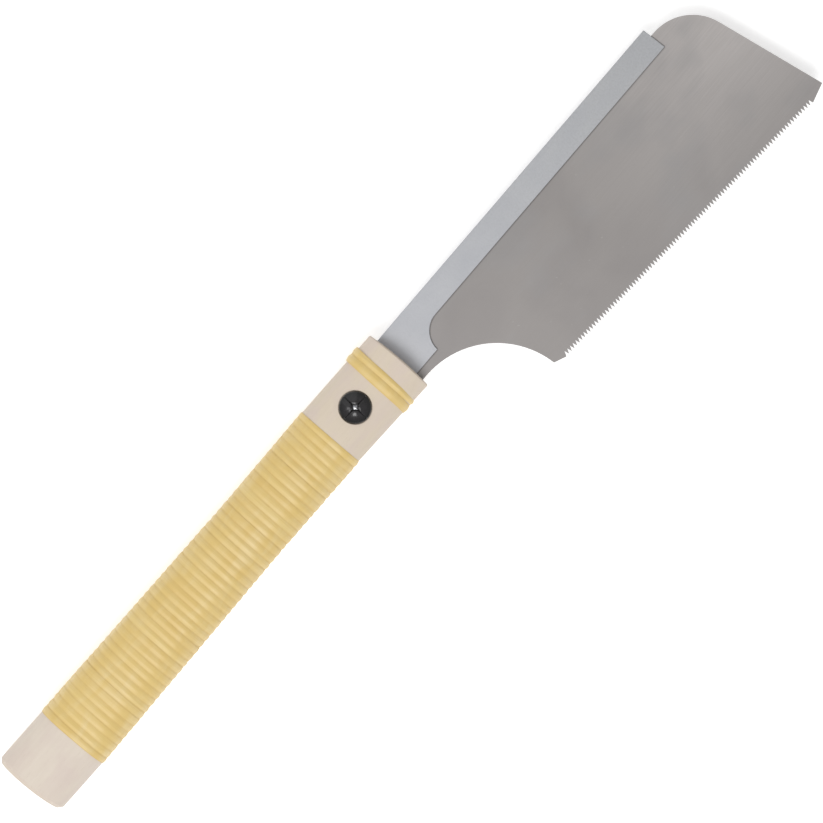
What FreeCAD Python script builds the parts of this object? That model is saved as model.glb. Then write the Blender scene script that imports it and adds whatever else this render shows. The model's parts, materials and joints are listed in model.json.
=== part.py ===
import FreeCAD, Part
import math
import os
import re

import Sketcher
from FreeCAD import Placement, Rotation, Vector

# A pull saw lying on its side. Sizes are millimetres, measured from the clamp screw's axis in the
# plane of the blade: +X along the handle towards the blade's nose, +Y towards the back of the
# blade, +Z out of the blade's face. move_to_frame shifts every piece to the part's own origin.
DIMENSIONS = {
    # wooden handle: stations along X, the oval section at each, and how far each is off the axis
    "butt_end": -195.45,
    "grip_rear": -169.3,
    "waist": -60.0,
    "grip_front": -15.0,
    "handle_front": 25.9,
    "butt_width": 31.0,
    "waist_width": 28.5,
    "neck_width": 29.2,
    "front_width": 29.95,
    "butt_thickness": 22.6,
    "neck_thickness": 21.5,
    "butt_shift": 0.68,
    "rear_shift": 0.25,
    "waist_shift": 0.05,
    "neck_shift": 0.0,
    "front_shift": -0.88,
    "side_share": 0.492,
    "dome_spare": 0.5,
    "butt_dome": 98.0,
    "butt_dome_y": 3.5,
    "front_dome": 125.0,
    "butt_chamfer": 1.5,
    "front_chamfer": 0.4,
    # cane: the seat turned in the wood, and how far each winding stands proud of it
    "wrap_seat": 0.6,
    "wrap_proud": 0.45,
    "band_centre": 14.1,
    "band_length": 7.1,
    "band_proud": 0.7,
    "band_shift": -0.35,
    "band_tilt": -2.0,
    # kerf that takes the blade
    "kerf_gap": 2.1,
    "kerf_end": -16.0,
    # blade sheet
    "blade_gauge": 0.3,
    "blade_top": 6.8,
    "tang_rear": -14.0,
    "neck_low": -12.9,
    "heel_centre": 27.5,
    "heel_radius": 36.2,
    "heel_corner_y": -47.4,
    "tooth_start_x": 68.6,
    "tooth_start_y": -49.5,
    "tooth_slope": -3.57,
    "tooth_pitch": 1.5,
    "tooth_count": 92,
    "tooth_depth": 1.95,
    "tooth_land": 0.08,
    "tooth_lean": 0.5,
    "nose_tip_x": 214.5,
    "nose_tip_y": -55.8,
    "nose_slant": 10.0,
    "nose_radius": 20.0,
    # folded back of the blade
    "spine_gauge": 0.8,
    "spine_top": 10.5,
    "spine_end": 185.2,
    "spine_slant": 0.5,
    "lobe_low": -9.5,
    "lobe_arc": 10.0,
    "lobe_arc_x": 48.0,
    "fold_radius": 0.4,
    "rim_radius": 0.2,
    # clamp screw, knob, washer and threaded insert
    "screw_radius": 2.5,
    "screw_clearance": 0.3,
    "screw_tip": -8.8,
    "screw_hex": 3.6,
    "screw_hex_height": 1.6,
    "screw_boss": 1.5,
    "screw_boss_height": 2.6,
    "knob_radius": 6.4,
    "knob_rim": 1.3,
    "knob_height": 4.2,
    "knob_sink": 0.8,
    "knob_turn": -3.0,
    "groove_width": 0.7,
    "groove_floor": 1.8,
    "groove_reach": 5.8,
    "star_reach": 1.9,
    "washer_radius": 5.0,
    "washer_bore": 2.65,
    "washer_gauge": 1.0,
    "seat_clearance": 0.25,
    "insert_sink": 1.4,
    "insert_bore": 2.55,
    "insert_barrel": 3.2,
    "insert_length": 6.9,
    "flange_radius": 7.5,
    "flange_gauge": 1.2,
    "claw_count": 4,
    "claw_radius": 5.7,
    "claw_gauge": 1.0,
    "claw_width": 2.4,
    "claw_length": 4.0,
}

doc = FreeCAD.newDocument("HandSaw")
sheet = doc.addObject("Spreadsheet::Sheet", "Dimensions")
for row, (alias, size) in enumerate(DIMENSIONS.items(), start=1):
    sheet.set(f"A{row}", alias)
    sheet.set(f"B{row}", str(size))
    sheet.setAlias(f"B{row}", alias)
doc.recompute()

# Sizes that follow from the driving dimensions
KNOB_SEAT = "(neck_thickness / 2 - knob_sink)"
INSERT_FACE = "(insert_sink - neck_thickness / 2)"
NOTCH = "(screw_radius + screw_clearance)"
SPINE_THICKNESS = "(2 * spine_gauge + blade_gauge)"
HEEL_CENTRE_Y = "(neck_low - heel_radius)"
TOOTH_END_X = "(tooth_start_x + tooth_count * tooth_pitch * cos(tooth_slope))"
TOOTH_END_Y = "(tooth_start_y + tooth_count * tooth_pitch * sin(tooth_slope))"
NOSE_CENTRE_Y = "(blade_top - nose_radius)"
NOSE_REACH = f"(nose_radius - (nose_tip_y - {NOSE_CENTRE_Y}) * sin(nose_slant))"
NOSE_CENTRE_X = f"(nose_tip_x - {NOSE_REACH} / cos(nose_slant))"


def bound(text):
    """An expression in which every dimension's name points at its cell."""
    return re.sub(r"[a-z_]+", lambda m: f"Dimensions.{m[0]}" if m[0] in DIMENSIONS else m[0], text)


def value(text):
    """The number that an expression of dimensions comes to."""
    return float(sheet.evalExpression(bound(text)))


def bind(item, **sizes):
    """Tie properties to expressions of dimensions; a double underscore stands for a dot."""
    for name, text in sizes.items():
        item.setExpression(name.replace("__", "."), bound(text))


def new_body(label):
    body = doc.addObject("PartDesign::Body", label)
    body.Label = label
    return body


def origin_feature(body, role):
    return next(f for f in body.Origin.OriginFeatures if f.Role == role)


def new_sketch(body, name, plane="XY_Plane", **offset):
    """A sketch on one of the body's own origin planes, moved by its attachment offset."""
    sketch = body.newObject("Sketcher::SketchObject", name)
    sketch.AttachmentSupport = [(origin_feature(body, plane), "")]
    sketch.MapMode = "FlatFace"
    bind(sketch, **{f"AttachmentOffset__{key}": text for key, text in offset.items()})
    return sketch


def draw(sketch, corners, arcs=None):
    """Draw a closed outline through corners, each tied to the sheet.

    arcs gives the edges that are round: the number of the edge's first corner, then the centre,
    and +1 for an anticlockwise arc or -1 for a clockwise one.
    """
    arcs = arcs or {}
    points = [Vector(value(x), value(y), 0) for x, y in corners]

    def tie(kind, edge, point, text):
        limit = sketch.addConstraint(Sketcher.Constraint(kind, edge, point, value(text)))
        sketch.setExpression(f"Constraints[{limit}]", bound(text))

    ends = []
    for i, start in enumerate(points):
        finish = points[(i + 1) % len(points)]
        if i not in arcs:
            ends.append((sketch.addGeometry(Part.LineSegment(start, finish)), 1, 2))
            continue
        centre, turn = arcs[i]
        middle = Vector(value(centre[0]), value(centre[1]), 0)
        angles = [math.atan2(p.y - middle.y, p.x - middle.x) for p in (start, finish)][::turn]
        circle = Part.Circle(middle, Vector(0, 0, 1), (start - middle).Length)
        edge = sketch.addGeometry(Part.ArcOfCircle(circle, *angles))
        ends.append((edge, 1, 2) if turn > 0 else (edge, 2, 1))
        # the ends hold the centre on their bisector, so one more coordinate of it is enough
        chord = finish - start
        if abs(chord.y) > abs(chord.x):
            tie("DistanceX", edge, 3, centre[0])
        else:
            tie("DistanceY", edge, 3, centre[1])
    for i, (edge, start, _) in enumerate(ends):
        before, _, finish = ends[i - 1]
        sketch.addConstraint(Sketcher.Constraint("Coincident", before, finish, edge, start))
        tie("DistanceX", edge, start, corners[i][0])
        tie("DistanceY", edge, start, corners[i][1])


def oval(body, name, width, thickness, **offset):
    """An oval section across the handle: two side arcs joined by two flatter arcs, all tangent."""
    side = f"(side_share * {thickness})"
    side_y = f"({width} / 2 - {side})"
    face = f"(({side_y}^2 + {thickness}^2 / 4 - {side}^2) / ({thickness} - 2 * {side}))"
    face_z = f"({face} - {thickness} / 2)"
    join_y = f"{face} * {side_y} / ({face} - {side})"
    join_z = f"{face_z} * {side} / ({face} - {side})"
    sketch = new_sketch(body, name, "YZ_Plane", **offset)
    right, left = join_y, f"-({join_y})"
    top, bottom = join_z, f"-({join_z})"
    draw(
        sketch,
        [(right, bottom), (right, top), (left, top), (left, bottom)],
        {
            0: ((side_y, "0"), 1),
            1: (("0", f"-{face_z}"), 1),
            2: ((f"-{side_y}", "0"), 1),
            3: (("0", face_z), 1),
        },
    )
    return sketch


def loft(body, name, first, last):
    """A straight stretch between two oval sections, each given as (x, shift, width, thickness)."""
    sections = [
        oval(body, f"{name}{i}", width, thickness, Base__z=x, Base__x=shift)
        for i, (x, shift, width, thickness) in enumerate((first, last))
    ]
    stretch = body.newObject("PartDesign::AdditiveLoft", name)
    stretch.Profile = sections[0]
    stretch.Sections = [sections[1]]
    stretch.Ruled = True
    return stretch


def pad(body, sketch, length, symmetric=True):
    block = body.newObject("PartDesign::Pad", f"{sketch.Name}Pad")
    block.Profile = sketch
    block.SideType = "Symmetric" if symmetric else "One side"
    bind(block, Length=length)
    return block


def pocket(body, sketch, length, symmetric=True, upwards=False):
    hollow = body.newObject("PartDesign::Pocket", f"{sketch.Name}Pocket")
    hollow.Profile = sketch
    hollow.SideType = "Symmetric" if symmetric else "One side"
    hollow.Reversed = upwards
    bind(hollow, Length=length)
    return hollow


def turned(body, name, corners, arcs=None):
    """A solid of revolution about Z, from an outline in the XZ plane."""
    sketch = new_sketch(body, f"{name}Outline", "XZ_Plane")
    draw(sketch, corners, arcs)
    solid = body.newObject("PartDesign::Revolution", name)
    solid.Profile = sketch
    solid.ReferenceAxis = (sketch, ["V_Axis"])
    return solid


def cylinder(name, radius, low, high):
    """A cylinder about the clamp screw's axis."""
    rod = doc.addObject("Part::Cylinder", name)
    bind(rod, Radius=radius, Height=f"{high} - {low}", Placement__Base__z=low)
    return rod


def cut(label, base, tools):
    """What is left of base once every tool is taken away."""
    tool = tools[0]
    if len(tools) > 1:
        tool = doc.addObject("Part::MultiFuse", f"{label}_tools")
        tool.Shapes = tools
    result = doc.addObject("Part::Cut", label)
    result.Label = label
    result.Base = base
    result.Tool = tool
    return result


def dress(body, kind, name, size, wanted):
    """Fillet or chamfer every edge of the body that wanted() picks by its bounding box."""
    doc.recompute()
    before = body.Tip
    edges = [f"Edge{i}" for i, e in enumerate(before.Shape.Edges, start=1) if wanted(e.BoundBox)]
    dressed = body.newObject(f"PartDesign::{kind}", name)
    dressed.Base = (before, edges)
    bind(dressed, **{"Radius" if kind == "Fillet" else "Size": size})
    return dressed


def dome(body, name, apex, middle, radius, outward):
    """Round an end of the handle: a groove along X takes away all that lies outside a sphere."""
    centre = f"({apex} - {outward} * {radius})"
    edge_y = "(0.65 * butt_width)"
    edge_x = f"({centre} + {outward} * sqrt({radius}^2 - {edge_y}^2))"
    outside = f"({apex} + {outward} * 3 * dome_spare)"
    sketch = new_sketch(body, f"{name}Outline", Base__y=middle)
    draw(
        sketch,
        [(apex, "0"), (edge_x, edge_y), (outside, edge_y), (outside, "0")],
        {0: ((centre, "0"), outward)},
    )
    groove = body.newObject("PartDesign::Groove", name)
    groove.Profile = sketch
    groove.ReferenceAxis = (sketch, ["H_Axis"])
    return groove


def grown(width, thickness, extra):
    """The size of an oval section that lies extra outside another one all round."""
    return f"({width} + 2 * {extra})", f"({thickness} + 2 * {extra})"


def grip(body, name, extra):
    """The stretch under the long winding, extra outside the handle's bare line."""
    rear = ("grip_rear", "rear_shift", *grown("butt_width", "butt_thickness", extra))
    waist = ("waist", "waist_shift", *grown("waist_width", "neck_thickness", extra))
    front = ("grip_front", "neck_shift", *grown("neck_width", "neck_thickness", extra))
    loft(body, f"{name}Rear", rear, waist)
    loft(body, f"{name}Front", waist, front)


def handle_blank():
    """The handle's outside before the kerf and holes: butt, grip with its seat for the cane, front."""
    body = new_body("handle_blank")
    loft(
        body,
        "Butt",
        ("butt_end - dome_spare", "butt_shift", "butt_width", "butt_thickness"),
        ("grip_rear", "rear_shift", "butt_width", "butt_thickness"),
    )
    grip(body, "Grip", "(-wrap_seat)")
    loft(
        body,
        "Front",
        ("grip_front", "neck_shift", "neck_width", "neck_thickness"),
        ("handle_front + dome_spare", "front_shift", "front_width", "neck_thickness"),
    )
    dome(body, "FrontDome", "handle_front", "front_shift", "front_dome", 1)
    dome(body, "ButtDome", "butt_end", "butt_dome_y", "butt_dome", -1)
    butt_zone = value("butt_end + butt_width / 5")
    front_zone = value("handle_front - front_width / 5")
    dress(body, "Chamfer", "ButtChamfer", "butt_chamfer", lambda b: b.XMax < butt_zone)
    dress(body, "Chamfer", "FrontChamfer", "front_chamfer", lambda b: b.XMin > front_zone)
    return body


def handle(blank):
    kerf = doc.addObject("Part::Box", "kerf")
    bind(
        kerf,
        Length="handle_front - kerf_end + 5",
        Width="2 * butt_width",
        Height="kerf_gap",
        Placement__Base__x="kerf_end",
        Placement__Base__y="-butt_width",
        Placement__Base__z="-kerf_gap / 2",
    )
    flange_top = f"({INSERT_FACE} + flange_gauge)"
    tools = [
        kerf,
        cylinder("screw_hole", NOTCH, "-neck_thickness", "neck_thickness"),
        cylinder("knob_spot_face", "knob_radius + seat_clearance", KNOB_SEAT, "neck_thickness"),
        cylinder(
            "washer_seat",
            "washer_radius + seat_clearance",
            f"({KNOB_SEAT} - washer_gauge)",
            "neck_thickness",
        ),
        cylinder("insert_recess", "flange_radius + seat_clearance", "-neck_thickness", flange_top),
        cylinder("insert_hole", "insert_barrel", "-neck_thickness", f"({INSERT_FACE} + insert_length)"),
    ]
    return cut("handle", blank, tools)


def grip_wrap(blank):
    """The long cane winding as the sleeve that its turns fill."""
    sleeve = new_body("wrap_sleeve")
    grip(sleeve, "Sleeve", "wrap_proud")
    return cut("grip_wrap", sleeve, [blank])


def front_band(blank):
    """The two turns of cane that bind the front of the kerf, a little out of square."""
    disc = new_body("band_disc")
    size = grown("front_width", "neck_thickness", "band_proud")
    section = oval(disc, "Band", *size, Base__z="band_centre", Base__x="band_shift")
    section.AttachmentOffset = Placement(Vector(), Rotation(Vector(0, 1, 0), 1))
    bind(section, AttachmentOffset__Rotation__Angle="band_tilt")
    pad(disc, section, "band_length")
    return cut("front_band", disc, [blank])


def blade():
    """The thin sheet: forked tang, round heel, straight line of teeth, slanted nose."""
    body = new_body("blade")
    outline = new_sketch(body, "BladeOutline")
    heel_x = f"(heel_centre + sqrt(heel_radius^2 - (heel_corner_y - {HEEL_CENTRE_Y})^2))"
    nose_join = (
        f"{NOSE_CENTRE_X} + nose_radius * cos(nose_slant)",
        f"{NOSE_CENTRE_Y} + nose_radius * sin(nose_slant)",
    )
    draw(
        outline,
        [
            ("tang_rear", "neck_low"),
            ("heel_centre", "neck_low"),
            (heel_x, "heel_corner_y"),
            ("tooth_start_x", "tooth_start_y"),
            (TOOTH_END_X, TOOTH_END_Y),
            ("nose_tip_x", "nose_tip_y"),
            nose_join,
            (NOSE_CENTRE_X, "blade_top"),
            ("tang_rear", "blade_top"),
            ("tang_rear", NOTCH),
            ("0", NOTCH),
            ("0", f"-{NOTCH}"),
            ("tang_rear", f"-{NOTCH}"),
        ],
        {
            1: (("heel_centre", HEEL_CENTRE_Y), -1),
            6: ((NOSE_CENTRE_X, NOSE_CENTRE_Y), 1),
            10: (("0", "0"), -1),
        },
    )
    pad(body, outline, "blade_gauge")
    gullet = new_sketch(body, "Gullet", Base__x="tooth_start_x", Base__y="tooth_start_y")
    bind(gullet, AttachmentOffset__Rotation__Angle="tooth_slope")
    draw(
        gullet,
        [
            ("tooth_land", "-tooth_depth"),
            ("tooth_pitch", "-tooth_depth"),
            ("tooth_pitch", "0"),
            ("tooth_pitch - tooth_lean", "tooth_depth"),
            ("tooth_land", "0"),
        ],
    )
    first = pocket(body, gullet, "4 * blade_gauge")
    row_of_teeth = body.newObject("PartDesign::LinearPattern", "RowOfTeeth")
    row_of_teeth.Originals = [first]
    row_of_teeth.Direction = (gullet, ["H_Axis"])
    bind(row_of_teeth, Length="tooth_pitch * (tooth_count - 1)", Occurrences="tooth_count")
    body.Tip = row_of_teeth
    return body


def blade_spine():
    """The back: a strip folded over the blade, with a lobe that runs into the handle as a fork."""
    body = new_body("blade_spine")
    outline = new_sketch(body, "SpineOutline")
    arc_start = "(lobe_arc_x - sqrt(lobe_arc^2 - (lobe_low + lobe_arc)^2))"
    draw(
        outline,
        [
            ("tang_rear", "lobe_low"),
            (arc_start, "lobe_low"),
            ("lobe_arc_x", "0"),
            ("spine_end", "0"),
            ("spine_end - spine_slant", "spine_top"),
            ("tang_rear", "spine_top"),
            ("tang_rear", NOTCH),
            ("0", NOTCH),
            ("0", f"-{NOTCH}"),
            ("tang_rear", f"-{NOTCH}"),
        ],
        {
            1: (("lobe_arc_x", "-lobe_arc"), -1),
            7: (("0", "0"), -1),
        },
    )
    pad(body, outline, SPINE_THICKNESS)
    slit = new_sketch(body, "BladeSlit")
    rear, end = "tang_rear - 1", "spine_end + 1"
    low, high = "lobe_low - 1", "spine_top - spine_gauge"
    draw(slit, [(rear, low), (end, low), (end, high), (rear, high)])
    pocket(body, slit, "blade_gauge")
    near_top = value("spine_top - fold_radius / 2")
    near_face = value(f"{SPINE_THICKNESS} / 2 - rim_radius / 2")
    dress(body, "Fillet", "Fold", "fold_radius", lambda b: b.YMin > near_top and b.XLength > b.ZLength)
    dress(
        body,
        "Fillet",
        "Rim",
        "rim_radius",
        lambda b: min(abs(b.ZMin), abs(b.ZMax)) > near_face and b.YMin < near_top,
    )
    return body


def claw_nut():
    """The threaded insert: a flange in the handle's underside, a barrel, and claws in the wood."""
    body = new_body("claw_nut")
    flange_top = f"{INSERT_FACE} + flange_gauge"
    barrel_top = f"{INSERT_FACE} + insert_length"
    turned(
        body,
        "Insert",
        [
            ("insert_bore", INSERT_FACE),
            ("flange_radius", INSERT_FACE),
            ("flange_radius", flange_top),
            ("insert_barrel", flange_top),
            ("insert_barrel", barrel_top),
            ("insert_bore", barrel_top),
        ],
    )
    claw = new_sketch(body, "Claw", "YZ_Plane", Base__z="claw_radius")
    claw_root = f"{flange_top} - flange_gauge / 4"
    draw(
        claw,
        [
            ("-claw_width / 2", claw_root),
            ("claw_width / 2", claw_root),
            ("0", f"{flange_top} + claw_length"),
        ],
    )
    first = pad(body, claw, "claw_gauge", symmetric=False)
    ring = body.newObject("PartDesign::PolarPattern", "RingOfClaws")
    ring.Originals = [first]
    ring.Axis = (origin_feature(body, "Z_Axis"), [""])
    bind(ring, Occurrences="claw_count")
    body.Tip = ring
    return body


def clamp_washer():
    low, high = f"({KNOB_SEAT} - washer_gauge)", KNOB_SEAT
    disc = cylinder("washer_disc", "washer_radius", low, high)
    return cut("clamp_washer", disc, [cylinder("washer_hole", "washer_bore", low, high)])


def hexagon(body, name, height):
    """A hexagon about the screw's axis, screw_hex from corner to centre, at a given height."""
    sketch = new_sketch(body, name, Base__z=height)
    corners = [(f"screw_hex * cos({60 * i})", f"screw_hex * sin({60 * i})") for i in range(6)]
    draw(sketch, corners)
    return sketch


def clamp_screw():
    """The steel screw moulded in the knob: shank, hexagonal head, and the boss at the knob's middle."""
    body = new_body("clamp_screw")
    bevel = "(0.3 * screw_radius)"
    turned(
        body,
        "Shank",
        [
            ("0", "screw_tip"),
            (f"screw_radius - {bevel}", "screw_tip"),
            ("screw_radius", f"screw_tip + {bevel}"),
            ("screw_radius", KNOB_SEAT),
            ("screw_boss", KNOB_SEAT),
            ("screw_boss", f"{KNOB_SEAT} + screw_boss_height"),
            ("0", f"{KNOB_SEAT} + screw_boss_height"),
        ],
    )
    pad(body, hexagon(body, "Head", KNOB_SEAT), "screw_hex_height", symmetric=False)
    return body


def clamp_knob():
    """The black moulded knob: a dome with four grooves, a star-shaped middle and the screw's cavity."""
    body = new_body("clamp_knob")
    rise = "(knob_height - knob_rim)"
    dome_radius = f"((knob_radius^2 + {rise}^2) / (2 * {rise}))"
    top = f"({KNOB_SEAT} + knob_height)"
    turned(
        body,
        "Dome",
        [
            ("0", KNOB_SEAT),
            ("knob_radius", KNOB_SEAT),
            ("knob_radius", f"{KNOB_SEAT} + knob_rim"),
            ("0", top),
        ],
        {2: (("0", f"{top} - {dome_radius}"), 1)},
    )
    groove = new_sketch(body, "CrossGroove", Base__z=f"{KNOB_SEAT} + groove_floor")
    half = "groove_width / 2"
    inner = "screw_boss / 2"
    outer = "groove_reach"
    draw(groove, [(inner, f"-{half}"), (outer, f"-{half}"), (outer, half), (inner, half)])
    first = pocket(body, groove, "knob_height", symmetric=False, upwards=True)
    cross = body.newObject("PartDesign::PolarPattern", "CrossOfGrooves")
    cross.Originals = [first]
    cross.Axis = (origin_feature(body, "Z_Axis"), [""])
    cross.Occurrences = 4
    star = new_sketch(body, "Star", Base__z=f"{KNOB_SEAT} + screw_boss_height")
    tip = "star_reach"
    draw(star, [(tip, "0"), ("0", tip), (f"-{tip}", "0"), ("0", f"-{tip}")])
    pocket(body, star, "knob_height", symmetric=False, upwards=True)
    pocket(body, hexagon(body, "HeadCavity", KNOB_SEAT), "screw_hex_height", symmetric=False, upwards=True)
    boss = new_sketch(body, "BossCavity", Base__z=KNOB_SEAT)
    middle = ("0", "0")
    draw(
        boss,
        [("screw_boss", "0"), ("-screw_boss", "0")],
        {0: (middle, 1), 1: (middle, 1)},
    )
    pocket(body, boss, "screw_boss_height", symmetric=False, upwards=True)
    return body


def move_to_frame(piece, turn="0"):
    """Put the origin under the middle of the saw, on the surface that it lies on."""
    piece.Placement = Placement(Vector(), Rotation(Vector(0, 0, 1), 1))
    bind(
        piece,
        Placement__Base__x="-(butt_end + nose_tip_x) / 2",
        Placement__Base__y=f"-(rear_shift + butt_width / 2 + wrap_proud + {TOOTH_END_Y}) / 2",
        Placement__Base__z="butt_thickness / 2 + wrap_proud",
        Placement__Rotation__Angle=turn,
    )


def check(pieces):
    """Stop unless every object was computed and every piece is a sound solid."""
    for item in doc.Objects:
        if {"Invalid", "Error"} & set(item.State):
            raise SystemExit(f"{item.Label} failed: {item.State} {item.getStatusString()}")
    for piece in pieces:
        if piece.Shape.isNull() or not piece.Shape.isValid() or not piece.Shape.Solids:
            raise SystemExit(f"{piece.Label} isn't a valid solid")


blank = handle_blank()
still = [handle(blank), grip_wrap(blank), front_band(blank), claw_nut(), blade(), blade_spine()]
turning = [clamp_washer(), clamp_screw(), clamp_knob()]
for piece in still:
    move_to_frame(piece)
for piece in turning:
    move_to_frame(piece, "knob_turn")
doc.recompute()
check(still + turning)

os.makedirs("parts", exist_ok=True)
for piece in still + turning:
    piece.Shape.exportStep(f"parts/{piece.Label}.step")
    print(f"{piece.Label}: {piece.Shape.Volume:.1f} mm3, {len(piece.Shape.Solids)} solid")
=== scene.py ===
import json
import math

import bpy
from mathutils import Matrix, Vector, noise

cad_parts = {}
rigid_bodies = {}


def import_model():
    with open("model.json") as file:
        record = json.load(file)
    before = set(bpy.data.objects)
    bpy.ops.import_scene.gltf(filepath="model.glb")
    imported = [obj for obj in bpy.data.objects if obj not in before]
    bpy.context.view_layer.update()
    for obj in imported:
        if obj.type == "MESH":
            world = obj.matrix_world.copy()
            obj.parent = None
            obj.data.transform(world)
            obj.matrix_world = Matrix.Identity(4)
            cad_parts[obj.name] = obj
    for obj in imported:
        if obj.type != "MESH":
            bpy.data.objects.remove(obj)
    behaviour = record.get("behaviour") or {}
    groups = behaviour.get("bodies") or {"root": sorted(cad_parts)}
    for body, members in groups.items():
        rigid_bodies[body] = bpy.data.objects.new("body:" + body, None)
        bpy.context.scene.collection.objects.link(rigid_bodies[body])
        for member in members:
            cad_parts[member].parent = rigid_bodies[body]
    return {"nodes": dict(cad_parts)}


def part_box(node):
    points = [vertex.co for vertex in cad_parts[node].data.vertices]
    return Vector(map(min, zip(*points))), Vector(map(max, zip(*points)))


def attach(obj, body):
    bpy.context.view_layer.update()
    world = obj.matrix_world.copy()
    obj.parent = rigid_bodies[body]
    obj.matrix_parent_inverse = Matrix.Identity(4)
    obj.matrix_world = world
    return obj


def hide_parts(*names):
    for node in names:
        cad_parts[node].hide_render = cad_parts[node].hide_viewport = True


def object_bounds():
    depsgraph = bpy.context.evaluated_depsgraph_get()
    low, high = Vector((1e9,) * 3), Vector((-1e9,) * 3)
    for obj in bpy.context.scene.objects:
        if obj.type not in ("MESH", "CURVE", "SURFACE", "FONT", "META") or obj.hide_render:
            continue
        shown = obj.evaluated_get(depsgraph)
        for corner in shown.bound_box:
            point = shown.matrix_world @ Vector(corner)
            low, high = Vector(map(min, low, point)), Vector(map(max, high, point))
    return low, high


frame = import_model()
cad_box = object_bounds()

MM = 0.001
nodes = frame["nodes"]
blade_low, blade_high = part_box("blade")
band_low, band_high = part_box("front_band")
grip_low, grip_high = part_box("grip_wrap")
knob_low, knob_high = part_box("clamp_knob")
screw_low, screw_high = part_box("clamp_screw")
spine_low, spine_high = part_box("blade_spine")

# The clamp screw's axis crosses the middle of the blade's sheet here. Most places follow from it.
HUB = Vector((
    (knob_low.x + knob_high.x) / 2,
    (knob_low.y + knob_high.y) / 2,
    (blade_low.z + blade_high.z) / 2,
))

# The handle's oval section is two side arcs joined by two flatter arcs. This is the side arcs'
# radius as a share of the handle's thickness.
SIDE_SHARE = 0.492

# How far the underside of each winding's strand lies below its crest
WRAP_DEPTH = 1.05 * MM
BAND_DEPTH = 1.4 * MM

BAND_TILT = math.radians(2)
KNOB_TURN = math.radians(-3)


# ---------------------------------------------------------------- materials


def srgb(red, green, blue):
    """A colour in the usual 0-255 steps, as the linear values that shaders take."""

    def linear(step):
        share = step / 255
        return share / 12.92 if share <= 0.04045 else ((share + 0.055) / 1.055) ** 2.4

    return (linear(red), linear(green), linear(blue), 1.0)


class Surface:
    """A material with one Principled shader, and short ways to add the nodes that feed it."""

    def __init__(self, name, **constants):
        self.material = bpy.data.materials.new(name)
        self.material.use_nodes = True
        self.tree = self.material.node_tree
        self.shader = self.tree.nodes["Principled BSDF"]
        for socket, amount in constants.items():
            self.shader.inputs[socket.replace("_", " ")].default_value = amount
        self.objects = self.node("TexCoord").outputs["Object"]

    def node(self, kind, sources=None, **settings):
        """A shader node; each source is a constant or another node's output socket.

        Sources go by the name of an input, or by its number where names repeat.
        """
        made = self.tree.nodes.new(f"ShaderNode{kind}")
        for name, setting in settings.items():
            setattr(made, name, setting)
        for name, source in (sources or {}).items():
            if isinstance(source, bpy.types.NodeSocket):
                self.tree.links.new(source, made.inputs[name])
            else:
                made.inputs[name].default_value = source
        return made

    def feed(self, socket, source):
        self.tree.links.new(source, self.shader.inputs[socket])

    def stretched(self, vector, scale, shift=(0, 0, 0), turn=(0, 0, 0)):
        """The vector scaled, turned and shifted: a texture on it is finer where scale is larger."""
        sources = {"Vector": vector, "Location": shift, "Rotation": turn, "Scale": scale}
        return self.node("Mapping", sources).outputs["Vector"]

    def noise(self, scale, detail, distortion=0.0, vector=None, shift=(0, 0, 0), turn=(0, 0, 0)):
        """Soft random values about 0.5, of about scale features a metre along each axis.

        They follow the object's own coordinates, unless another vector is given.
        """
        place = self.stretched(self.objects if vector is None else vector, scale, shift, turn)
        sources = {"Vector": place, "Scale": 1.0, "Detail": detail, "Distortion": distortion}
        return self.node("TexNoise", sources).outputs["Fac"]

    def steps(self, value, low, high, low_to=0.0, high_to=1.0):
        """Map value from low..high to low_to..high_to, and hold it there outside."""
        sources = {
            "Value": value,
            "From Min": low,
            "From Max": high,
            "To Min": low_to,
            "To Max": high_to,
        }
        return self.node("MapRange", sources, clamp=True).outputs["Result"]

    def maths(self, operation, first, second):
        """A sum of two values, or of the first alone where the operation takes one."""
        return self.node("Math", {0: first, 1: second}, operation=operation).outputs["Value"]

    def blend(self, share, first, second):
        """The first colour where share is 0 and the second where it is 1."""
        return self.node("Mix", {0: share, 6: first, 7: second}, data_type="RGBA").outputs[2]

    def along(self, axis, start, end):
        """0 up to start and 1 from end on, both places along the axis."""
        place = self.node("SeparateXYZ", {"Vector": self.objects}).outputs[axis]
        return self.steps(place, start, end)

    def end_grain(self):
        """0 on sides that run along X, up to 1 on cuts across it."""
        normal = self.node("NewGeometry").outputs["Normal"]
        across = self.node("SeparateXYZ", {"Vector": normal}).outputs["X"]
        return self.steps(self.maths("ABSOLUTE", across, 0.0), 0.3, 0.8)

    def corners(self, distance):
        """How shut in the surface is within a distance: 0 in the open, up to 1 in a corner."""
        openness = self.node("AmbientOcclusion", {"Distance": distance}, samples=8).outputs["AO"]
        return self.steps(openness, 0.55, 0.95, 1.0, 0.0)

    def softened(self, radius):
        """The surface's direction, with its edges rounded to a radius."""
        return self.node("Bevel", {"Radius": radius}, samples=6).outputs["Normal"]

    def edges(self, radius):
        """How near a sharp edge is: 0 on open faces, up to 1 on the edge itself."""
        plain = self.node("NewGeometry").outputs["Normal"]
        sources = {0: self.softened(radius), 1: plain}
        facing = self.node("VectorMath", sources, operation="DOT_PRODUCT").outputs["Value"]
        return self.steps(facing, 0.98, 0.75)

    def relief(self, *layers, radius=None):
        """Bump from (height, depth in metres) layers, over edges softened to radius."""
        normal = self.softened(radius) if radius else None
        for height, depth in layers:
            sources = {"Height": height, "Strength": 1.0, "Distance": depth}
            if normal:
                sources["Normal"] = normal
            normal = self.node("Bump", sources).outputs["Normal"]
        self.feed("Normal", normal)


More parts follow.
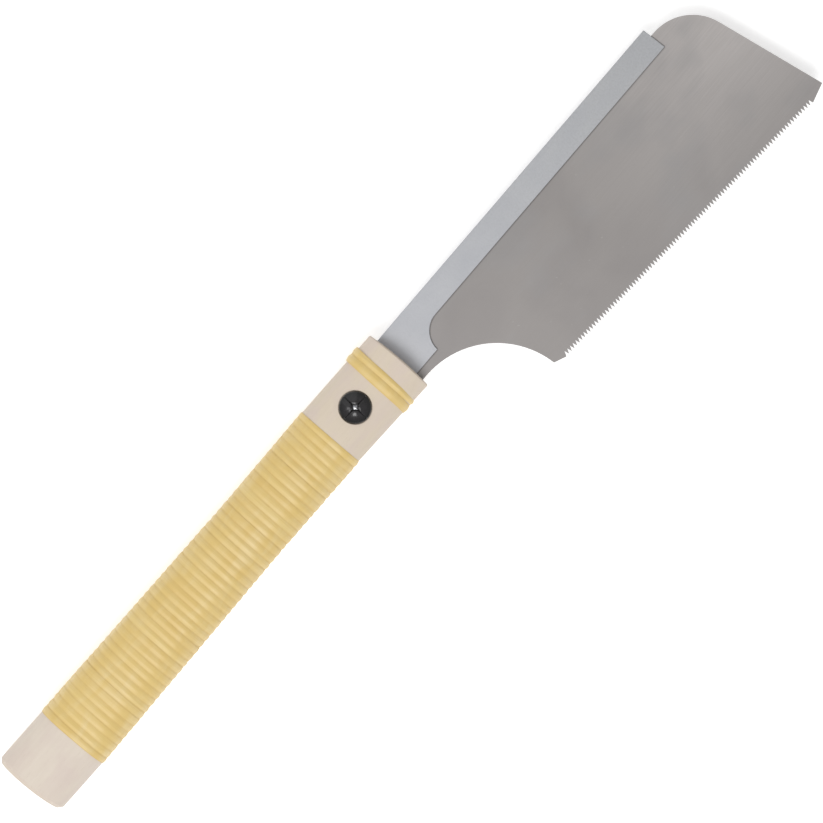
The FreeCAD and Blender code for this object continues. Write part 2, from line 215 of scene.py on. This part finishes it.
def pale_wood():
    """Plain close-grained softwood, paler and cooler at the butt: faint rings, fibres and stains."""
    surface = Surface("pale_wood", Roughness=0.6, Specular_IOR_Level=0.3)
    pith = (0.0, 0.085, -0.06)
    ring_spacing = 2.3 * MM
    spacing_at_scale_1 = 2 * math.pi / 20
    trunk = surface.stretched(surface.objects, (0.15, 1.0, 1.0), shift=pith)
    rings = surface.node(
        "TexWave",
        {
            "Vector": trunk,
            "Scale": spacing_at_scale_1 / ring_spacing,
            "Distortion": 3.5,
            "Detail": 2.0,
            "Detail Scale": 0.5,
        },
        wave_type="RINGS",
        rings_direction="X",
        wave_profile="SIN",
    ).outputs["Fac"]
    fibre = surface.noise((170, 1500, 1500), detail=4)
    mottle = surface.noise((70, 130, 130), detail=3, distortion=0.6)
    pores = surface.noise((260, 4200, 4200), detail=1)
    forward = surface.along("X", grip_low.x - 5 * MM, grip_high.x + 5 * MM)

    pale = surface.blend(forward, srgb(213, 202, 189), srgb(209, 196, 178))
    pale = surface.blend(surface.steps(rings, 0.2, 0.9, 0.0, 0.05), pale, srgb(190, 176, 157))
    pale = surface.blend(surface.steps(fibre, 0.3, 0.7, 0.0, 0.09), pale, srgb(190, 176, 156))
    pale = surface.blend(surface.steps(mottle, 0.4, 0.66, 0.0, 0.6), pale, srgb(205, 190, 181))
    pale = surface.blend(surface.steps(pores, 0.7, 0.8, 0.0, 0.3), pale, srgb(160, 142, 118))
    # End grain is darker, as on real wood; on the butt's chamfer this darkening is also painted
    # shade.
    cut_end = surface.maths("MULTIPLY", surface.end_grain(), 0.5)
    pale = surface.blend(cut_end, pale, srgb(192, 178, 163))
    # Darker along the sharp edges.
    darker_edges = surface.maths("MULTIPLY", surface.edges(0.5 * MM), 0.3)
    pale = surface.blend(darker_edges, pale, srgb(176, 162, 146))
    surface.feed("Base Color", pale)
    surface.feed("Roughness", surface.steps(fibre, 0.3, 0.7, 0.52, 0.7))
    surface.relief((fibre, 0.006 * MM), (pores, 0.015 * MM), radius=0.25 * MM)
    return surface.material


def cane():
    """Split rattan: a glossy skin with fine long fibres, and painted shade where the turns meet.

    winding gives each point its place on the strand: how far along it, across it, and 0 on its
    middle line to 1 at its rims.
    """
    surface = Surface("cane", Coat_Weight=0.15, Coat_Roughness=0.35, Specular_IOR_Level=0.4)
    strand = surface.node("Attribute", attribute_name="strand").outputs["Vector"]
    rim = surface.node("SeparateXYZ", {"Vector": strand}).outputs["Z"]
    lengthways = surface.noise((11, 0, 0), detail=3, vector=strand)
    fibre = surface.noise((60, 3600, 0), detail=3, vector=strand)
    patches = surface.noise((70, 170, 170), detail=3, distortion=0.5)

    patchy = surface.steps(lengthways, 0.36, 0.66)
    skin = surface.blend(patchy, srgb(217, 191, 124), srgb(210, 180, 110))
    skin = surface.blend(surface.steps(patches, 0.42, 0.7, 0.0, 0.6), skin, srgb(219, 198, 146))
    skin = surface.blend(surface.steps(fibre, 0.38, 0.72, 0.0, 0.5), skin, srgb(205, 176, 106))
    # Painted shade in the creases where the turns meet.
    skin = surface.blend(surface.steps(rim, 0.6, 1.0, 0.0, 0.16), skin, srgb(184, 148, 84))
    surface.feed("Base Color", skin)
    dull = surface.steps(rim, 0.6, 1.0, 0.42, 0.6)
    surface.feed("Roughness", surface.maths("ADD", dull, surface.steps(fibre, 0.3, 0.7, -0.04, 0.06)))
    surface.relief((fibre, 0.06 * MM), (patches, 0.08 * MM))
    return surface.material


def saw_steel():
    """Cold-rolled sheet: satin grey and clouded, with fine rolling lines.

    It has a painted sheen that makes it lighter towards its nose and its back, and painted shade in
    the corner along the folded back.
    """
    surface = Surface("saw_steel", Metallic=1.0)
    clouds = surface.noise((26, 34, 34), detail=4, distortion=0.8)
    tints = surface.noise((40, 55, 55), detail=2, shift=(3, 1, 0))
    lines = surface.noise((55, 3800, 3800), detail=3)
    specks = surface.noise((420, 420, 420), detail=2)
    middle = blade_low.x + 0.55 * (blade_high.x - blade_low.x)
    forward = surface.along("X", middle, blade_high.x)
    upward = surface.along("Y", blade_low.y, HUB.y)
    # Painted reflection: the sheet is painted lighter towards its nose and its back.
    painted_sheen = surface.maths("MULTIPLY", forward, surface.steps(upward, 0.0, 0.7, 0.3, 1.0))
    sheen = surface.blend(painted_sheen, srgb(151, 147, 146), srgb(202, 197, 195))
    sheen = surface.blend(surface.steps(clouds, 0.3, 0.72, 0.0, 0.35), sheen, srgb(160, 156, 153))
    sheen = surface.blend(surface.steps(tints, 0.5, 0.75, 0.0, 0.5), sheen, srgb(156, 155, 156))
    sheen = surface.blend(surface.steps(lines, 0.3, 0.75, 0.0, 0.3), sheen, srgb(149, 145, 141))
    sheen = surface.blend(surface.steps(specks, 0.7, 0.8, 0.0, 0.3), sheen, srgb(182, 179, 176))
    # Painted shade: dark in the corner along the folded back, where the back's step shades the sheet.
    painted_seam_shade = surface.maths("MULTIPLY", surface.corners(0.7 * MM), 0.6)
    sheen = surface.blend(painted_seam_shade, sheen, srgb(80, 76, 72))
    surface.feed("Base Color", sheen)
    surface.feed("Roughness", surface.steps(clouds, 0.3, 0.75, 0.4, 0.47))
    surface.relief((lines, 0.006 * MM), (clouds, 0.05 * MM))
    return surface.material


def silver_paint():
    """Fine-flake silver paint, with painted shade that darkens it towards the nose and along its
    edges.
    """
    surface = Surface("silver_paint", Metallic=0.55, Specular_IOR_Level=0.4)
    flake = surface.noise((1500, 1500, 1500), detail=2)
    cloud = surface.noise((60, 110, 110), detail=3)
    peel = surface.noise((700, 700, 700), detail=1)
    # Painted shade: the paint is darker towards the nose.
    forward = surface.along("X", spine_low.x + 40 * MM, spine_high.x)
    paint = surface.blend(forward, srgb(180, 181, 185), srgb(168, 169, 170))
    paint = surface.blend(surface.steps(flake, 0.35, 0.65, 0.0, 0.4), paint, srgb(188, 189, 193))
    paint = surface.blend(surface.steps(cloud, 0.35, 0.7, 0.0, 0.35), paint, srgb(162, 164, 170))
    # Painted shade along the spine's sharp edges.
    darker_edges = surface.steps(flake, 0.25, 0.6, 0.3, 0.8)
    darker_edges = surface.maths("MULTIPLY", darker_edges, surface.edges(0.35 * MM))
    paint = surface.blend(darker_edges, paint, srgb(118, 116, 116))
    surface.feed("Base Color", paint)
    surface.feed("Roughness", surface.steps(flake, 0.3, 0.7, 0.42, 0.56))
    surface.relief((flake, 0.02 * MM), (peel, 0.02 * MM), radius=0.15 * MM)
    return surface.material


def black_plastic():
    """Glossy moulded plastic, with painted shade that makes it blacker at its rim, faint flow marks
    and a few scuffs.
    """
    surface = Surface("black_plastic", Specular_IOR_Level=0.55)
    flow = surface.noise((500, 500, 500), detail=3)
    scuffs = surface.noise((900, 3200, 900), detail=3, turn=(0, 0, 0.6))
    flat = surface.stretched(surface.objects, (1, 1, 0), shift=(-HUB.x, -HUB.y, 0))
    off_axis = surface.node("VectorMath", {0: flat}, operation="LENGTH").outputs["Value"]
    black = surface.blend(surface.steps(flow, 0.35, 0.65), srgb(29, 27, 28), srgb(37, 35, 37))
    # Painted shade: the knob is painted blacker towards its rim.
    black = surface.blend(surface.steps(off_axis, 3.8 * MM, 6.0 * MM), black, srgb(5, 5, 5))
    black = surface.blend(surface.steps(scuffs, 0.62, 0.8, 0.0, 0.4), black, srgb(48, 47, 50))
    surface.feed("Base Color", black)
    surface.feed("Roughness", surface.steps(scuffs, 0.45, 0.75, 0.17, 0.31))
    surface.relief((flow, 0.02 * MM))
    return surface.material


def plated_steel():
    """Zinc plate: grey, a little cloudy, with turning marks."""
    surface = Surface("plated_steel", Metallic=1.0)
    cloud = surface.noise((600, 600, 600), detail=3)
    turning = surface.noise((900, 900, 6000), detail=2)
    zinc = surface.blend(surface.steps(cloud, 0.3, 0.7), srgb(172, 173, 175), srgb(154, 156, 160))
    # Painted highlight along the sharp edges.
    painted_edge_glint = surface.maths("MULTIPLY", surface.edges(0.2 * MM), 0.4)
    zinc = surface.blend(painted_edge_glint, zinc, srgb(206, 207, 210))
    surface.feed("Base Color", zinc)
    surface.feed("Roughness", surface.steps(cloud, 0.3, 0.7, 0.22, 0.38))
    surface.relief((turning, 0.015 * MM), radius=0.12 * MM)
    return surface.material


def dress(piece, material):
    """Give a piece or a CAD node one material all over."""
    if not piece.material_slots:
        piece.data.materials.append(material)
    for slot in piece.material_slots:
        slot.material = material


# ---------------------------------------------------------------- meshes


def smooth_step(value, low, high):
    """0 at low and 1 at high, with a soft start and end; low may be the larger."""
    share = min(1.0, max(0.0, (value - low) / (high - low)))
    return share * share * (3 - 2 * share)


def ring_faces(first, rings, spokes, clockwise):
    """Quads that face outwards, between rings of points that begin at the first point.

    clockwise says which way round the points of a ring run, seen from the rings that follow it.
    """
    faces = []
    for i in range(rings - 1):
        near, far = first + i * spokes, first + (i + 1) * spokes
        for j in range(spokes):
            k = (j + 1) % spokes
            if clockwise:
                faces.append((near + j, far + j, far + k, near + k))
            else:
                faces.append((near + j, near + k, far + k, far + j))
    return faces


def capped_faces(points, spokes, clockwise):
    """Faces round a lone first point, between the rings after it, and round a lone last point."""
    last = len(points) - 1
    faces = ring_faces(1, (last - 1) // spokes, spokes, clockwise)
    for j in range(spokes):
        k = (j + 1) % spokes
        caps = [(0, 1 + k, 1 + j), (last - spokes + j, last - spokes + k, last)]
        faces += [cap[::-1] for cap in caps] if clockwise else caps
    return faces


def new_piece(name, points, faces, body):
    """A smooth-shaded mesh object that rides on a CAD body."""
    mesh = bpy.data.meshes.new(name)
    mesh.from_pydata(points, [], faces)
    mesh.update()
    mesh.polygons.foreach_set("use_smooth", [True] * len(mesh.polygons))
    piece = bpy.data.objects.new(name, mesh)
    bpy.context.scene.collection.objects.link(piece)
    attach(piece, body)
    return piece


def oval_point(width, thickness, turn):
    """A point of the oval section (y, z) and its outward direction, turn counted from +Y to +Z."""
    side = SIDE_SHARE * thickness
    side_y = width / 2 - side
    face = (side_y**2 + thickness**2 / 4 - side**2) / (thickness - 2 * side)
    face_z = face - thickness / 2
    join = math.atan2(face_z, side_y)
    quarter = side * join + face * (math.pi / 2 - join)
    quadrant, share = divmod(4 * (turn % 1.0), 1.0)
    run = quarter * (share if quadrant % 2 == 0 else 1 - share)
    if run < side * join:
        angle = run / side
        y, z = side_y + side * math.cos(angle), side * math.sin(angle)
    else:
        angle = join + (run - side * join) / face
        y, z = face * math.cos(angle), face * math.sin(angle) - face_z
    y_sign = 1 if quadrant in (0, 3) else -1
    z_sign = 1 if quadrant < 2 else -1
    out = Vector((0, y_sign * math.cos(angle), z_sign * math.sin(angle)))
    return Vector((0, y_sign * y, z_sign * z)), out


def perimeter(width, thickness):
    """The way round the oval."""
    steps = 64
    points = [oval_point(width, thickness, i / steps)[0] for i in range(steps)]
    return sum((points[i] - points[i - 1]).length for i in range(steps))


def cross_sections(node):
    """(x, middle y, width, thickness) wherever the node has a whole ring of points across X."""
    fewest = 60
    rings = {}
    for vertex in nodes[node].data.vertices:
        rings.setdefault(round(vertex.co.x, 5), []).append(vertex.co)
    found = []
    for x, ring in sorted(rings.items()):
        if len(ring) >= fewest:
            ys = [point.y for point in ring]
            zs = [point.z for point in ring]
            found.append((x, (min(ys) + max(ys)) / 2, max(ys) - min(ys), max(zs) - min(zs)))
    return found


def inner(t, turns):
    """1 well inside a winding, 0 at both its ends."""
    return max(0.0, min(1.0, t - 0.5, turns - t))


def winding(name, front, rear, turns, section_at, depth, crown, lean, stray, skew=0.0):
    """One strand wound round the handle from front to rear, its turns side by side.

    section_at gives the oval that the strand's crest touches at a place along X, depth how far the
    strand's underside is below it, and crown how far its rims are. lean is how much of its pitch
    a turn advances on the near side, stray how far each border is off its even place, and skew
    slants the whole winding. Both ends taper away on the far side, so that the near side shows
    whole turns.
    """
    pitch = (front - rear) / (turns - lean)
    steps_per_turn = 72
    across = 13
    end_round = 0.04
    hidden = 0.45
    sink = 0.05 * MM
    first, last = -hidden, turns - 0.5 + hidden
    turn_length = perimeter(*section_at((front + rear) / 2)[1:])

    def border(t):
        """Where turn t meets the one before it."""
        advance = t - (0.5 - lean) * (1 - math.cos(2 * math.pi * t)) / 2 - lean
        return front - pitch * min(max(advance, 0.0), turns - lean) + stray(t)

    points, strand = [], []
    count = round((last - first) * steps_per_turn)
    ring = across + 2
    for i in range(count + 1):
        t = first + (last - first) * i / count
        run = turn_length * t
        lead, trail = border(t), border(t + 1)
        tip = min(1.0, (t - first) / end_round, (last - t) / end_round)
        tip = math.sqrt(max(0.0, 1 - (1 - tip) ** 2))
        middle, half = (lead + trail) / 2, (lead - trail) / 2 * (0.25 + 0.75 * tip)
        middle_y, width, thickness = section_at(middle)
        spot, out = oval_point(width, thickness, t)
        below = sink * (1 + noise.noise((0.8 * t, 5.1, 2.2))) + (1 - tip) * crown
        uneven = 0.9 + 0.8 * noise.noise((1.3 * t, 2.6, 9.3))
        crown_here = crown * min(1.0, 2 * half / pitch) * uneven
        bulge = 0.25 * noise.noise((2.3 * t, 8.4, 1.1))
        centre = Vector((middle, middle_y, HUB.z)) + spot + Vector((skew * spot.y, 0, 0))
        for k in range(across):
            u = math.sin(math.pi / 2 * (2 * k / (across - 1) - 1))
            away = min(1.0, abs(u + bulge * (1 - u * u)))
            drop = below + crown_here * smooth_step(away, 0.05, 1.05)
            points.append(centre + Vector((u * half, 0, 0)) - out * drop)
            strand.append((run, u * half, abs(u)))
        for u in (1, -1):
            points.append(centre + Vector((u * half, 0, 0)) - out * depth)
            strand.append((run, u * half, 1.0))
    faces = ring_faces(0, count + 1, ring, clockwise=True)
    faces.append(tuple(range(ring)))
    faces.append(tuple(range(count * ring, count * ring + ring))[::-1])
    piece = new_piece(name, points, faces, "handle_unit")
    strand_data = piece.data.attributes.new("strand", "FLOAT_VECTOR", "POINT")
    strand_data.data.foreach_set("vector", [c for row in strand for c in row])
    return piece


def grip_cane(material):
    """The long winding of the grip, over the narrower waist in its middle."""
    turns = 47
    most_stray = 0.2 * MM
    stations = cross_sections("grip_wrap")
    final = len(stations) - 1

    def section_at(x):
        """The oval at x, in step between the two stations beside it."""
        beyond = next((i for i in range(1, final) if x < stations[i][0]), final)
        low, high = stations[beyond - 1], stations[beyond]
        share = (x - low[0]) / (high[0] - low[0])
        return tuple(a + share * (b - a) for a, b in zip(low[1:], high[1:]))

    piece = winding(
        "grip_cane",
        front=grip_high.x,
        rear=grip_low.x,
        turns=turns,
        section_at=section_at,
        depth=WRAP_DEPTH,
        crown=0.27 * MM,
        lean=0.31,
        stray=lambda t: most_stray * inner(t, turns) * noise.noise((1.9 * t, 0.3, 0.7)),
    )
    dress(piece, material)
    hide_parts("grip_wrap")


def front_cane(material):
    """Two turns that bind the handle in front of the knob, a little slanted, the front one narrower.

    The node's box gives the band's own length and width, once its tilt is taken out.
    """
    turns = 2
    size = band_high - band_low
    sine, cosine = math.sin(BAND_TILT), math.cos(BAND_TILT)
    spread = cosine**2 - sine**2
    length = (size.x * cosine - size.y * sine) / spread
    width = (size.y * cosine - size.x * sine) / spread
    centre = (band_low + band_high) / 2
    piece = winding(
        "front_cane",
        front=centre.x + 0.53 * length,
        rear=centre.x - 0.44 * length,
        turns=turns,
        section_at=lambda x: (centre.y, width, size.z),
        depth=BAND_DEPTH,
        crown=0.52 * MM,
        lean=0.0,
        stray=lambda t: 0.1 * length * inner(t, turns),
        skew=math.tan(BAND_TILT),
    )
    dress(piece, material)
    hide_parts("front_band")


def dip(depth, width, gap):
    """How far a rounded valley sinks at a gap from its middle line."""
    return depth * math.exp(-((gap / width) ** 2))


def knob_surface(x, y, radius, well_floor):
    """Height of the knob's top over its seat: four domed petals, creases, a bevelled star well."""
    rim, peak = 1.3 * MM, 4.15 * MM
    valley_depth, valley_width = 0.2 * MM, 1.4 * MM
    crease_depth, crease_width = 0.6 * MM, 0.17 * MM
    bevel_start, bevel_run, bevel_slope = 1.93 * MM, 0.38 * MM, 0.5
    well_start, well_end = 1.42 * MM, 1.08 * MM
    r = math.hypot(x, y)
    dome = rim + (peak - rim) * (1 - (r / radius) ** 2.1)
    gap = min(abs(x), abs(y))
    reach = 1 - smooth_step(r, 5.6 * MM, 6.2 * MM)
    petal = dip(valley_depth, valley_width, gap) * reach
    crease = dip(crease_depth, crease_width, gap) * reach
    inward = (abs(x) + abs(y)) / math.sqrt(2)
    bevel = bevel_slope * min(bevel_run, max(0.0, bevel_start - inward))
    well = smooth_step(inward, well_start, well_end)
    height = dome - petal - crease - bevel
    return height + well * (well_floor - height)


def clamp_knob_piece(material):
    """The moulded knob: rings of points from its middle outwards, then down to its foot."""
    radius = (knob_high.x - knob_low.x) / 2
    seat = knob_low.z
    top = knob_high.z - seat
    well_floor = screw_high.z - seat - 0.25 * MM
    round_off = 0.45 * MM
    foot_bevel = 0.12 * MM
    spokes, rings = 192, 72
    angles = [2 * math.pi * j / spokes for j in range(spokes)]
    hub = Vector((HUB.x, HUB.y, seat))
    turn = Matrix.Rotation(KNOB_TURN, 3, "Z")

    def spot(r, angle, height):
        return hub + turn @ Vector((r * math.cos(angle), r * math.sin(angle), height))

    points = [spot(0, 0, min(top, knob_surface(0, 0, radius, well_floor)))]
    for i in range(1, rings + 1):
        # the rings lie closer together near the star
        r = radius * (0.35 * (i / rings) + 0.65 * (i / rings) ** 1.4)
        near_rim = max(0.0, (r - (radius - round_off)) / round_off)
        rounding = round_off * (1 - math.sqrt(max(0.0, 1 - near_rim**2)))
        for angle in angles:
            height = knob_surface(r * math.cos(angle), r * math.sin(angle), radius, well_floor)
            points.append(spot(r, angle, min(height - rounding, top)))
    points += [spot(radius, angle, foot_bevel) for angle in angles]
    points += [spot(radius - foot_bevel, angle, 0.0) for angle in angles]
    points.append(spot(0, 0, 0))
    faces = capped_faces(points, spokes, clockwise=True)
    piece = new_piece("petal_knob", points, faces, "knob_unit")
    dress(piece, material)
    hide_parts("clamp_knob")


def clamp_screw_piece(material):
    """A threaded shank, a boss moulded in the knob, and a squared, peened end in the knob's star."""
    radius, pitch, thread = 2.5 * MM, 0.8 * MM, 0.42 * MM
    boss, boss_height = 3.5 * MM, 1.2 * MM
    square = 1.2 * MM
    lip = 0.1 * MM
    peen, crown = 0.5 * MM, 0.1 * MM
    seat = knob_low.z
    bottom, top = screw_low.z, screw_high.z
    bevel = 0.3 * radius
    spokes = 64
    step = pitch / 10
    angles = [2 * math.pi * j / spokes for j in range(spokes)]
    levels = []
    z = bottom
    while z < seat - 2 * pitch:
        levels.append(z)
        z += step
    thread_top = levels[-1]

    def shank(z, angle):
        """The shank's radius, with its thread fading out at the top and its tip bevelled."""
        phase = ((z - bottom) / pitch - angle / (2 * math.pi)) % 1.0
        groove = thread * (1 - abs(2 * phase - 1))
        fade = smooth_step(z, thread_top, thread_top - pitch)
        end = max(0.0, bevel - (z - bottom))
        return min(radius - groove * fade, radius - end)

    def squared(size, z):
        """A row of points round a square that stands on its corner."""
        return [(size / (abs(math.cos(angle)) + abs(math.sin(angle))), z) for angle in angles]

    rows = [[(shank(z, angle), z) for angle in angles] for z in levels]
    rows += [[(radius, thread_top + lip)] * spokes, [(radius, seat)] * spokes]
    rows += [[(boss, seat)] * spokes, [(boss, seat + boss_height)] * spokes]
    rows += [squared(square, seat + boss_height), squared(square, top - lip)]
    rows += [squared(0.9 * square, top), squared(0.86 * square, top)]
    for share in (1.0, 0.99, 0.8, 0.6, 0.4, 0.2):
        rows.append([(peen * share, top + crown * (1 - share**2))] * spokes)
    hub = Vector((HUB.x, HUB.y, 0))
    turn = Matrix.Rotation(KNOB_TURN, 3, "Z")
    points = [hub + Vector((0, 0, bottom))]
    for row in rows:
        for angle, (r, z) in zip(angles, row):
            points.append(hub + turn @ Vector((r * math.cos(angle), r * math.sin(angle), z)))
    points.append(hub + Vector((0, 0, top + crown)))
    faces = capped_faces(points, spokes, clockwise=False)
    piece = new_piece("threaded_screw", points, faces, "knob_unit")
    dress(piece, material)
    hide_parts("clamp_screw")


# ---------------------------------------------------------------- studio


def floor():
    """A white table, far larger than the saw, with a little glow to keep its shadows faint."""
    reach = 6.0
    glow = 0.38
    around = ((-reach, -reach), (reach, -reach), (reach, reach), (-reach, reach))
    mesh = bpy.data.meshes.new("table")
    mesh.from_pydata([(x, y, cad_box[0].z) for x, y in around], [], [(0, 1, 2, 3)])
    table = bpy.data.objects.new("table", mesh)
    bpy.context.scene.collection.objects.link(table)
    surface = Surface("white_table", Roughness=0.9, Specular_IOR_Level=0.1)
    surface.shader.inputs["Base Color"].default_value = (0.92, 0.92, 0.92, 1)
    surface.shader.inputs["Emission Color"].default_value = (1, 1, 1, 1)
    surface.shader.inputs["Emission Strength"].default_value = glow
    dress(table, surface.material)


def soft_light(name, towards, size, power):
    """A square soft box that faces the saw from the given direction."""
    distance = 2.6
    lamp = bpy.data.lights.new(name, "AREA")
    lamp.shape = "SQUARE"
    lamp.size = size
    lamp.energy = power
    holder = bpy.data.objects.new(name, lamp)
    bpy.context.scene.collection.objects.link(holder)
    direction = Vector(towards).normalized()
    holder.location = HUB + direction * distance
    holder.rotation_euler = direction.to_track_quat("Z", "Y").to_euler()


def studio():
    """Even white surroundings, two soft boxes above the handle and one large panel at the side."""
    world = bpy.data.worlds.new("studio")
    bpy.context.scene.world = world
    world.use_nodes = True
    background = world.node_tree.nodes["Background"]
    background.inputs["Color"].default_value = (1, 1, 1, 1)
    background.inputs["Strength"].default_value = 0.48
    soft_light("key", (-0.47, -0.3, 1.0), size=1.4, power=36)
    soft_light("second", (-0.55, 0.4, 1.0), size=1.0, power=9)
    soft_light("side_panel", (0.3, 1.0, 0.6), size=4.0, power=16)


def camera():
    """Straight above the saw, turned so that it runs from lower left to upper right."""
    view_width = 320.9 * MM
    distance = 2.0
    turn = math.radians(-49.4)
    aim = HUB + Vector((13.02, -17.59, 0)) * MM
    lens = bpy.data.cameras.new("camera")
    lens.sensor_width = 36
    lens.lens = lens.sensor_width * distance / view_width
    holder = bpy.data.objects.new("camera", lens)
    bpy.context.scene.collection.objects.link(holder)
    holder.location = aim + Vector((0, 0, distance))
    holder.rotation_euler = (0, 0, turn)
    bpy.context.scene.camera = holder


camera()
studio()
floor()
wood, rattan, zinc = pale_wood(), cane(), plated_steel()
dress(nodes["handle"], wood)
dress(nodes["blade"], saw_steel())
dress(nodes["blade_spine"], silver_paint())
dress(nodes["clamp_washer"], zinc)
dress(nodes["claw_nut"], zinc)
grip_cane(rattan)
front_cane(rattan)
clamp_knob_piece(black_plastic())
clamp_screw_piece(zinc)
bpy.context.scene.view_settings.view_transform = "Standard"
